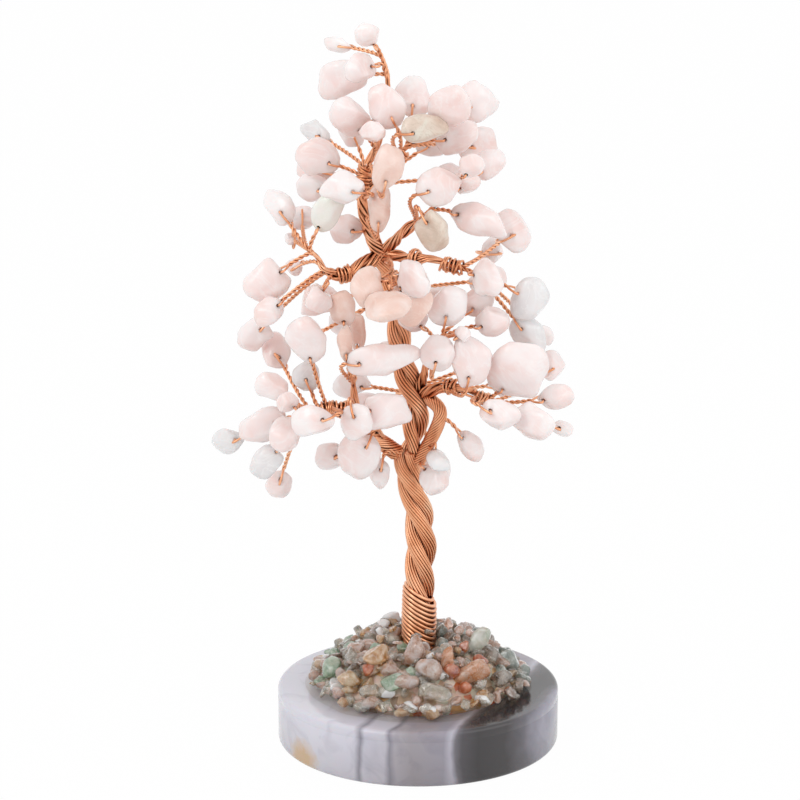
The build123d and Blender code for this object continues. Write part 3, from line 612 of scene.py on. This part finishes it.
def branchWires(name):
    branch = branches[name]
    rootD, tipD = branch["thick"]
    centre, step = evenly(smoothRoute(places(branch.get("neck", []) + branch["line"]), 10), pairMake["step"])
    stations = carried(centre)
    lay = 2 * pi * step / pairMake["layPitch"]
    wireR = pairMake["wireR"]

    def radiusAt(n):
        return (rootD + (tipD - rootD) * n / (len(centre) - 1)) / 2

    twigs = []
    for lie in hung[name]:
        at = nearest(centre, lie["start"])
        angle = angleRound(lie["elbow"] - centre[at], stations[at])
        twigs.append({"lie": lie, "at": at, "angle": angle, "rootAngle": (angle + lay * at) % (2 * pi)})
    twigs.sort(key=lambda twig: twig["rootAngle"])
    wires = []
    for rank, twig in enumerate(twigs):
        even = 2 * pi * rank / len(twigs) + twigs[0]["rootAngle"]
        slip = (even - twig["rootAngle"] + pi) % (2 * pi) - pi
        lead, twistFrom = [], 0.0
        for n in range(0, twig["at"] + 1, 3):
            left = sum(1 for other in twigs if other["at"] >= n)
            packed = pairMake["packed"] / sin(pi / left) if left > 1 else 0.0
            if left > pairMake["looseFrom"]:
                twistFrom = n * step
            share = n / twig["at"] if twig["at"] else 1.0
            angle = twig["angle"] + lay * (twig["at"] - n) + slip * (1 - share)
            lead.append(swung(stations[n], angle, min(radiusAt(n) - pairMake["under"], packed)))
        start = twig["rootAngle"] + slip
        tangent = stations[0][1] * -sin(start) + stations[0][2] * cos(start)
        wires.append((twistedPair(lead, twig["lie"], twistFrom, tangent), 1.0))
    core = [stations[n][0] for n in range(0, max(twig["at"] for twig in twigs) + 1, 2)]
    if len(core) > 3 and len(twigs) > 3:
        thick = [max(pairMake["coreLeast"], radiusAt(n * 2) - pairMake["coreUnder"]) for n in range(len(core))]
        wires.append((core, [full / wireR * (1 - pairMake["coreTaper"] * n / len(core))
                             for n, full in enumerate(thick)]))
    if branch.get("sheathed"):
        ring = (rootD + tipD) / 4 - wireR
        count = floor(pi * ring / wireR)
        for wire in range(count):
            wires.append(([swung(stations[n], 2 * pi * wire / count + lay * n, ring)
                           for n in range(0, len(stations), 2)], 1.0))
    for px, py, depthShare, length, radius in knots.get(name, []):
        wires += wound(stations, nearest(centre, spot(px, py, depthShare)), step, length, radius)
    piece = wireMesh("wires_" + name, wires, wireR)
    node = "branch_" + name
    if "bend" in branch:
        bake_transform(piece)
    else:
        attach(piece, bodyOfNode[node])
    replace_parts(piece, node)


for name in branches:
    branchWires(name)
print("branches wound")


# Trunk

cables = {
    "foot_strand": {"count": 3, "d": 3.0, "turns": 2.2, "swell": (1.4, 1.42, 1.42, 1.38, 1.3, 1.24, 1.16, 1.04),
        "line": [Vector((0, 0, 10.05)), (418.5, 682, 0.0), (418.5, 636, 0.0), (418.5, 610, 0.0), (420, 575, 0.0),
            (421, 546, 0.0), (420, 516, 0.0), (410, 480, 0.0), (405, 462, 0.0), (408, 450, 0.0)],
        "spread": [2.7 * share for share in (0.72, 0.72, 0.72, 0.72, 0.74, 0.86, 0.76, 0.70, 0.70, 0.70)]},
    "upper_strand": {"count": 2, "d": 2.6, "turns": 2.4, "swell": (1.3, 1.42, 1.38, 1.2, 1.05),
        "line": [(407, 462, 0.0), (414, 440, 0.0), (417, 404, 0.0), (408, 380, 0.0), (400, 345, 0.0),
            (398, 320, 0.0), (392, 285, 0.02), (380, 256, 0.0)],
        "spread": [1.6, 1.75, 1.75, 1.6, 1.5, 1.4, 1.35, 1.35]},
}
cableMake = {
    "steps": 8,             # stations for one turn of the cables
    "wireR": 0.32,          # mm
    "lay": 48.0,            # mm for one turn of the wires round their cable
    "step": 1.4,            # mm
}


def cableRoute(make, strand):
    points = places(make["line"])
    ends = [0.0]
    for a, b in zip(points, points[1:]):
        ends.append(ends[-1] + (b - a).length)
    steps = round(make["turns"] * cableMake["steps"])
    route = []
    for step in range(steps + 1):
        along = ends[-1] * step / steps
        piece = max(n for n in range(len(points) - 1) if ends[n] <= along)
        share = (along - ends[piece]) / (ends[piece + 1] - ends[piece])
        wide = make["spread"][piece] + (make["spread"][piece + 1] - make["spread"][piece]) * share
        turn = 2 * pi * (strand / make["count"] - make["turns"] * step / steps)
        route.append(points[piece].lerp(points[piece + 1], share) + Vector((cos(turn), sin(turn), 0)) * wide)
    return route


def cable(name, make, strand):
    centre, step = evenly(smoothRoute(cableRoute(make, strand)), cableMake["step"])
    stations = carried(centre)
    wireR = cableMake["wireR"]
    rings = [(make["d"] / 2 - wireR * 0.9) * between(make["swell"], n / (len(centre) - 1)) for n in range(len(centre))]
    count = floor(pi * rings[0] / (wireR * 0.98))
    wires = []
    for wire in range(count):
        turns = [2 * pi * (wire / count - n * step / cableMake["lay"]) for n in range(len(centre))]
        wires.append(([swung(*each) for each in zip(stations, turns, rings)], 1.0))
    wires.append((centre, [ring / wireR for ring in rings]))
    piece = wireMesh("cable_" + name, wires, wireR)
    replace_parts(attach(piece, bodyOfNode[name]), name)


for name, make in cables.items():
    for strand in range(make["count"]):
        cable(f"{name}_{strand + 1}", make, strand)

wrapMake = {
    "low": 652, "turns": 14, "pitch": 1.16, "wireR": 0.47, "steps": 20,
    "tilt": (38.0, 38.0, 36.0, 35.0, 34.0),         # degrees, from the low end to the high end
    "radius": (4.2, 4.3, 4.3, 4.25, 4.15),          # mm
    "lean": (0.0, 0.0, 0.4, 0.9, 1.5),              # pixels to the right
    "tucked": 1.4,                                  # turns over which either end goes in under the others
    "uneven": 0.1,
}


def footWrap():
    make = wrapMake
    low = spot(reading["axis"], make["low"], 0)
    points = []
    for step in range(make["turns"] * make["steps"] + 1):
        turns = step / make["steps"]
        share = turns / make["turns"]
        tilt, turn = radians(between(make["tilt"], share)), 2 * pi * turns
        tuck = min(1.0, turns / make["tucked"], (make["turns"] - turns) / make["tucked"])
        wobble = make["uneven"] * noise.noise(Vector((turns * 2.3, 0, 0)))
        radius = (between(make["radius"], share) + wobble) * (0.8 + 0.2 * sqrt(tuck)) / cos(tilt) ** 0.6
        ring = Vector((cos(tilt) * cos(turn), sin(turn), -sin(tilt) * cos(turn))) * radius
        points.append(low + ring + Vector((pxMm * between(make["lean"], share), 0, make["pitch"] * turns)))
    piece = wireMesh("wound_foot_wrap", [(points, 1.0)], make["wireR"], 2)
    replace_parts(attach(piece, bodyOfNode["foot_wrap"]), "foot_wrap")


footWrap()
print("trunk wound")


# Stones

drilledChip = {"fineness": 4, "planes": 8, "soften": 2, "lumpWide": 3.4}
looseChip = {"fineness": 3, "planes": 9, "depth": (0.5, 0.85), "taper": 0.2, "soften": 1, "lump": 0.25}
chipMake = {
    "drilled": {**drilledChip, "depth": (0.66, 0.92), "taper": 0.2, "lump": 0.5, "fill": 1.13},
    "turning": {**drilledChip, "depth": (0.7, 0.93), "taper": 0.16, "lump": 0.3, "fill": 0.93},
    "heap": {**looseChip, "lumpWide": 2.2, "stretch": ((1.3, 1.9), (1.05, 1.4), (1.0, 1.3)), "rim": 21.5,
             "rimShare": 0.74},
    "loose": {**looseChip, "lumpWide": 2.0},
}
poolFrom = {"depth": 19.5, "above": 40.0}       # mm: the chips that far to the front stand in clear resin


def islands(mesh):
    shell = bmesh.new()
    shell.from_mesh(mesh)
    bmesh.ops.remove_doubles(shell, verts=shell.verts, dist=0.002 * mm)
    shell.verts.ensure_lookup_table()
    found, taken = [], set()
    for start in shell.verts:
        if start.index in taken:
            continue
        group, todo = [], [start]
        taken.add(start.index)
        while todo:
            vert = todo.pop()
            group.append(vert.co / mm)
            for edge in vert.link_edges:
                near = edge.other_vert(vert)
                if near.index not in taken:
                    taken.add(near.index)
                    todo.append(near)
        found.append(group)
    shell.free()
    return found


def spread(verts):
    low = Vector([min(v.co[i] for v in verts) for i in range(3)])
    high = Vector([max(v.co[i] for v in verts) for i in range(3)])
    return (low + high) / 2, high - low


def chance(dice):
    return Vector([dice.gauss(0, 1) for _ in range(3)]).normalized()


def flatten(made, middle, make, dice):
    # One end is slighter, and the broken faces are worn flat: what stands past a plane is laid onto it
    end = chance(dice)
    reach = max((v.co - middle).dot(end) for v in made)
    for vert in made:
        vert.co = middle + (vert.co - middle) * (1 - make["taper"] * (vert.co - middle).dot(end) / reach)
    for _ in range(make["planes"]):
        facing = chance(dice)
        reach = max((v.co - middle).dot(facing) for v in made) * dice.uniform(*make["depth"])
        for vert in made:
            past = (vert.co - middle).dot(facing) - reach
            if past > 0:
                vert.co -= facing * past


def soften(ball, made, middle, make, dice):
    for _ in range(make["soften"]):
        bmesh.ops.smooth_vert(ball, verts=made, factor=0.5, use_axis_x=True, use_axis_y=True, use_axis_z=True)
    shift = Vector((dice.uniform(0, 90), 0, 0))
    for vert in made:
        out = vert.co - middle
        vert.co += out.normalized() * noise.noise(vert.co / make["lumpWide"] + shift) * make["lump"]


def tumble(group, ball, make, dice):
    # All in millimetres: a ball is drawn out to the sawn chip's hull, worn flat, softened, and filled out again
    hull = bmesh.new()
    for place in group:
        hull.verts.new(place)
    bmesh.ops.convex_hull(hull, input=hull.verts)
    bmesh.ops.delete(hull, geom=[v for v in hull.verts if not v.link_faces], context="VERTS")
    surface = BVHTree.FromBMesh(hull)
    middle, size = spread(hull.verts)
    hull.free()
    made = bmesh.ops.create_icosphere(ball, subdivisions=make["fineness"], radius=1.0)["verts"]
    for vert in made:
        out = vert.co.normalized()
        vert.co = surface.ray_cast(middle + out * 40, -out)[0] or middle
    flatten(made, middle, make, dice)
    soften(ball, made, middle, make, dice)
    now, grown = spread(made)
    if "stretch" in make:
        # Piled chips lie every way, longer one way than the other
        less = make["rimShare"] if sqrt(middle.x ** 2 + middle.y ** 2) > make["rim"] else 1.0
        drawn = Matrix.Diagonal([dice.uniform(*few) * less for few in make["stretch"]])
        turned = Matrix.Rotation(dice.uniform(0, pi), 3, "Z") @ Matrix.Rotation(dice.uniform(-0.9, 0.9), 3, "Y")
        for vert in made:
            vert.co = middle + turned @ drawn @ turned.transposed() @ (vert.co - now)
        return
    for vert in made:
        vert.co = middle + Vector([(vert.co[i] - now[i]) * size[i] / grown[i] * make["fill"] for i in range(3)])


def meshOf(name, shell):
    mesh = bpy.data.meshes.new(name)
    shell.to_mesh(mesh)
    shell.free()
    return mesh


def drilledThrough(piece, node):
    drill = bmesh.new()
    for hole, thin, thick in holes[node]:
        lie = Matrix.Translation(hole * mm) @ thin.to_track_quat("Z", "Y").to_matrix().to_4x4()
        bmesh.ops.create_cone(drill, cap_ends=True, segments=14, radius1=stoneMake["holeD"] / 2 * mm,
                              radius2=stoneMake["holeD"] / 2 * mm, depth=thick * 2.4 * mm, matrix=lie)
    cutter = meshOf("drill", drill)
    bit = bpy.data.objects.new("drill", cutter)
    bpy.context.scene.collection.objects.link(bit)
    cut = piece.modifiers.new("hole", "BOOLEAN")
    cut.operation, cut.solver, cut.object = "DIFFERENCE", "FAST", bit
    shaped = bpy.data.meshes.new_from_object(piece.evaluated_get(bpy.context.evaluated_depsgraph_get()))
    piece.modifiers.clear()
    old, piece.data = piece.data, shaped
    bpy.data.objects.remove(bit)
    for mesh in (old, cutter):
        bpy.data.meshes.remove(mesh)


def stonePiece(name, ball, look):
    bmesh.ops.scale(ball, vec=(mm, mm, mm), verts=ball.verts)
    return addPiece(name, meshOf(name, ball), stoneMaterials[look])


def lookOf(node, middle):
    if node.startswith("heap_") and middle.y < -poolFrom["depth"] and middle.length < poolFrom["above"]:
        return "broken_clear"
    look = lookOfNode.get(node, slotOfNode[node])
    if not node.startswith("stones_"):
        return look
    lie = min(hung[node[7:]], key=lambda one: (one["middle"] - middle).length)
    return lookOfStone.get(lie["key"], look)


def tumbledStones(node):
    drilled = node in holes
    kind = "turning" if bodyOfNode[node] == node else "drilled" if drilled else "heap"
    balls = {}
    for nth, group in enumerate(islands(frame["nodes"][node].data)):
        look = lookOf(node, sum(group, Vector()) / len(group))
        if look not in balls:
            balls[look] = bmesh.new()
        tumble(group, balls[look], chipMake[kind], Random(node + str(nth)))
    for look, ball in balls.items():
        piece = stonePiece(f"tumbled_{node}" + (f"_{look}" if len(balls) > 1 else ""), ball, look)
        if drilled:
            drilledThrough(piece, node)
        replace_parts(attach(piece, bodyOfNode[node]), node)


for node in sorted(frame["nodes"]):
    if node.startswith(("stones_", "heap_")) or node in holes:
        tumbledStones(node)
print("drilled stones and the heap's large chips tumbled")


# Base, resin and what lies in it, all in mm

baseMake = {
    "r": 35.0, "h": 14.0, "edge": 1.1, "steps": 96,
    "line": 2.6,            # under the top, a fine line runs round the edge: what it goes in and how it rises
    "lineShape": [(0, 0.25), (0.07, 0.1), (0.07, -0.1), (0, -0.25)],
}


def spunProfile(name, profile, material):
    shell = bmesh.new()
    verts = [shell.verts.new((x * mm, 0, z * mm)) for x, z in profile]
    edges = [shell.edges.new(pair) for pair in zip(verts, verts[1:])]
    bmesh.ops.spin(shell, geom=verts + edges, cent=(0, 0, 0), axis=(0, 0, 1), angle=2 * pi, steps=baseMake["steps"],
                   use_merge=True)
    bmesh.ops.remove_doubles(shell, verts=shell.verts, dist=0.001 * mm)
    bmesh.ops.recalc_face_normals(shell, faces=shell.faces)
    return addPiece(name, meshOf(name, shell), material)


def agateBase():
    r, h, edge = baseMake["r"], baseMake["h"], baseMake["edge"]
    corner = [(r - edge * (1 - sin(a)), h - edge * (1 - cos(a))) for a in [pi / 2 * n / 5 for n in range(6)]]
    line = [(r - deep, h - baseMake["line"] + rise) for deep, rise in baseMake["lineShape"]]
    under = [(x, h - z) for x, z in reversed(corner)]
    profile = [(0, h), (10, h), (r - 3, h - 0.02)] + corner + line + under + [(r - 4, 0), (0, 0)]
    piece = spunProfile("polished_base_disc", profile, agate)
    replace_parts(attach(piece, bodyOfNode["base_disc"]), "base_disc")


agateBase()

heapMake = {
    "mound": [(3.8, 9.2), (8.1, 10.8), (12.8, 9.9), (17.55, 8.42), (22.68, 3.89), (27.0, 1.3)],     # over the disc
    "film": [(27.7, 0.6), (28.1, 0.0)],
    "rim": 29.0, "waveFrom": 12.0, "wave": 0.9, "waveSize": 9.0,
    "bedSunk": 0.9, "bedR": 24.0, "bedRough": 0.7, "bedGrain": 2.4,
}
# Chips that stand out in the photograph's front view, by the seed of their draws: pixel, long and wide
# in pixels, lean in degrees, kind
frontChips = {
    0: (330, 667, 26, 20, 60, "green_aventurine"), 1: (394, 681, 24, 17, 15, "green_aventurine"),
    2: (350, 680, 26, 18, -30, "honey_calcite"), 3: (377, 657, 30, 20, 20, "honey_calcite"),
    4: (368, 668, 16, 12, 70, "carnelian"), 5: (412, 656, 34, 22, 70, "broken_rose"),
    6: (428, 672, 30, 24, -20, "broken_rose"), 7: (405, 684, 26, 18, 10, "broken_rose"),
    8: (447, 660, 34, 15, 85, "broken_peach"), 9: (474, 672, 38, 22, 25, "broken_peach"),
    10: (465, 648, 14, 11, 40, "carnelian"), 11: (479, 643, 32, 20, 65, "broken_pale"),
    12: (442, 632, 18, 10, 75, "teal_agate"), 13: (508, 659, 26, 20, -35, "teal_agate"),
    16: (434, 695, 36, 20, -8, "broken_clear"), 18: (503, 678, 22, 16, 30, "smoky_quartz"),
    21: (392, 620, 20, 15, 0, "clear_quartz"), 22: (363, 632, 13, 9, 60, "honey_calcite"),
    23: (350, 658, 22, 15, -60, "broken_clear"), 24: (372, 690, 26, 16, 5, "broken_clear"),
    30: (410, 628, 16, 12, 80, "clear_quartz"),
}
smallChips = {
    "count": 330, "size": (2.2, 4.8), "broad": (0.5, 0.8), "flat": (0.4, 0.7),
    "from": 5.6, "to": 27.2, "rise": 1.4, "topRise": 4.6, "topRun": 12, "raised": 2.6,
    "kinds": ["broken_rose", "broken_clear", "broken_rose", "honey_calcite", "broken_clear", "smoky_quartz",
              "broken_rose", "honey_calcite", "clear_quartz"],
}


def moundTop(reach):
    line = [(0.0, 8.0)] + heapMake["mound"] + heapMake["film"]
    for (r, z), (nextR, nextZ) in zip(line, line[1:]):
        if reach < nextR:
            return baseMake["h"] + z + (nextZ - z) * (reach - r) / (nextR - r)
    return baseMake["h"]


def resinFilm():
    h, start = baseMake["h"], heapMake["waveFrom"]
    top = [(x, h + z + 0.1) for x, z in heapMake["mound"]] + [(x, h + z) for x, z in heapMake["film"]]
    piece = spunProfile("poured_resin_film", top + [(28.0, h - 0.05), (3.9, h - 0.05), top[0]], resin)
    for vert in piece.data.vertices:
        reach = sqrt(vert.co.x ** 2 + vert.co.y ** 2) / mm
        if reach > start:
            wave = noise.noise(Vector((vert.co.x, vert.co.y, 0)) / (heapMake["waveSize"] * mm)) * heapMake["wave"]
            grow = 1 + wave * (reach - start) / (heapMake["rim"] - start) / heapMake["rim"]
            vert.co.x *= grow
            vert.co.y *= grow
    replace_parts(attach(piece, bodyOfNode["resin_mound"]), "resin_mound")


def bedMaterial():
    # Small broken chips deep in the resin: grains of every kind of stone in the heap
    material, tree, shader, place = startMaterial("chip_bed_in_resin", {
        "Roughness": 0.2, "IOR": 1.54, "Subsurface Weight": 0.2, "Subsurface Scale": 1.2 * mm})
    grains = addNode(tree, "TexVoronoi", {"Scale": 1 / (2.6 * mm)}, {"Vector": place})
    pick = addNode(tree, "SeparateColor", {}, {0: grains.outputs["Color"]})
    tint = addNode(tree, "ValToRGB", {"stops": [
        (0.0, "#E6CDBF"), (0.2, "#C9AF98"), (0.38, "#D3D3C4"), (0.52, "#CC9B63"), (0.64, "#A6A496"),
        (0.76, "#EFDDD3"), (0.88, "#97806B"), (0.97, "#BE6338")]}, {"Fac": pick})
    tint.color_ramp.interpolation = "CONSTANT"
    relief = addNode(tree, "Bump", {"Strength": 1.0, "Distance": 1.0 * mm, "invert": True}, {"Height": grains})
    join(tree, shader, {"Base Color": tint, "Normal": relief})
    return material


def chipBed():
    h, bedR = baseMake["h"], heapMake["bedR"]
    top = [(x, h + z - heapMake["bedSunk"]) for x, z in heapMake["mound"] if x < bedR] + [(bedR, h + 0.03)]
    piece = spunProfile("chip_bed", top + [(20.0, h + 0.02), (top[0][0], h + 0.02), top[0]], bedMaterial())
    for vert in piece.data.vertices:
        lift = (vert.co.z - (h + 0.02) * mm) / (7 * mm)
        if lift > 0.02:
            rough = noise.noise(vert.co / (heapMake["bedGrain"] * mm)) * heapMake["bedRough"] * mm
            vert.co.z += rough * min(1.0, lift * 3)
    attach(piece, bodyOfNode["resin_mound"])


def loosen(balls, place, turned, size, look, dice):
    # A broken chip: a ball cut by planes, then drawn out to its size and laid down
    ball = balls.setdefault(look, bmesh.new())
    made = bmesh.ops.create_icosphere(ball, subdivisions=chipMake["loose"]["fineness"], radius=1.0)["verts"]
    flatten(made, Vector(), chipMake["loose"], dice)
    grown = spread(made)[1]
    lie = Matrix.Translation(place) @ turned
    for vert in made:
        vert.co = lie @ Vector([vert.co[i] * size[i] / grown[i] for i in range(3)])
    soften(ball, made, place, chipMake["loose"], dice)


def onMound(px, py):
    # Where the line of sight through a pixel meets the heap
    for step in range(400):
        place = spot(px, py, -1.0 + step / 200)
        if place.z < moundTop(sqrt(place.x ** 2 + place.y ** 2)) + smallChips["raised"]:
            break
    return place


def looseChips():
    balls = {}
    sight = Matrix.Rotation(-radians(view["lookDown"]), 4, "X")
    for seed, (px, py, length, width, lean, look) in frontChips.items():
        place = onMound(px, py)
        out = Vector((place.x, place.y, 0)).normalized()
        size = (length * pxMm, min(length, width) * pxMm * 0.9, width * pxMm)
        turned = sight @ Matrix.Rotation(-radians(lean), 4, "Y")
        loosen(balls, place - out * size[1] * 0.1, turned, size, look, Random(seed))
    dice = Random(7)
    make = smallChips
    for _ in range(make["count"]):
        reach = sqrt(dice.uniform(make["from"] ** 2, make["to"] ** 2))
        turn = dice.uniform(0, 2 * pi)
        near = max(0.0, 1 - (reach - make["from"]) / make["topRun"])
        rise = dice.uniform(0.0, make["rise"] + make["topRise"] * near)
        place = Vector((cos(turn) * reach, sin(turn) * reach, moundTop(reach) + rise))
        long = dice.uniform(*make["size"])
        size = (long, long * dice.uniform(*make["broad"]), long * dice.uniform(*make["flat"]))
        turned = Matrix.Rotation(dice.uniform(0, 2 * pi), 4, "Z") @ Matrix.Rotation(dice.uniform(-1.0, 1.0), 4, "X")
        loosen(balls, place, turned, size, dice.choice(make["kinds"]), dice)
    for look, ball in balls.items():
        piece = stonePiece("loose_chips_" + look, ball, look)
        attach(piece, bodyOfNode["resin_mound"])


resinFilm()
chipBed()
looseChips()
print("base and heap laid")


# Floor, lamps and world

stageMake = {
    "floor": 9.0, "lookAt": (0, 0, 0.09),       # metres
    "paper": "#F2F2F2", "floorWhite": 0.98, "worldStrength": 0.84,
    # Place in metres, watts, size in metres
    "lamps": {"key": ((-0.42, -0.5, 0.75), 1.55, 0.45), "fill": ((0.6, -0.35, 0.4), 0.8, 0.6)},
}


def emptied(owner, unwanted):
    owner.use_nodes = True
    owner.node_tree.nodes.remove(owner.node_tree.nodes[unwanted])
    return owner.node_tree


def whiteWhenSeen(tree, output, much, matt, white):
    # Seen straight, mirrored or through what is clear it is white, and only what it lights sees the matt one
    rays = addNode(tree, "LightPath").outputs
    one = addNode(tree, "Math", {"operation": "MAXIMUM"}, {0: rays["Is Camera Ray"], 1: rays["Is Glossy Ray"]})
    seen = addNode(tree, "Math", {"operation": "MAXIMUM"}, {0: one, 1: rays["Is Transmission Ray"]})
    share = addNode(tree, "Math", {"operation": "MULTIPLY", 1: much}, {0: seen})
    mixed = addNode(tree, "MixShader", {}, {0: share, 1: matt, 2: white})
    join(tree, tree.nodes[output], {"Surface": mixed})


def layStage():
    paper = bpy.data.materials.new("matt_white_paper")
    tree = emptied(paper, "Principled BSDF")
    matt = addNode(tree, "BsdfDiffuse", {"Color": hexColour(stageMake["paper"])})
    whiteWhenSeen(tree, "Material Output", stageMake["floorWhite"], matt, addNode(tree, "Emission"))
    sheet = bmesh.new()
    bmesh.ops.create_grid(sheet, x_segments=1, y_segments=1, size=stageMake["floor"] / 2)
    floorPiece = addPiece("floor", meshOf("floor", sheet), paper)
    for name, (place, watts, size) in stageMake["lamps"].items():
        lamp = bpy.data.lights.new(name, "AREA")
        lamp.energy, lamp.size = watts, size
        holder = bpy.data.objects.new(name, lamp)
        holder.location = place
        holder.rotation_euler = (Vector(stageMake["lookAt"]) - Vector(place)).to_track_quat("-Z", "Y").to_euler()
        bpy.context.scene.collection.objects.link(holder)
    world = bpy.data.worlds.new("studio")
    bpy.context.scene.world = world
    tree = emptied(world, "Background")
    soft, white = (addNode(tree, "Background", {"Color": (1, 1, 1, 1), "Strength": strength})
                   for strength in (stageMake["worldStrength"], 1.0))
    whiteWhenSeen(tree, "World Output", 1.0, soft, white)


layStage()
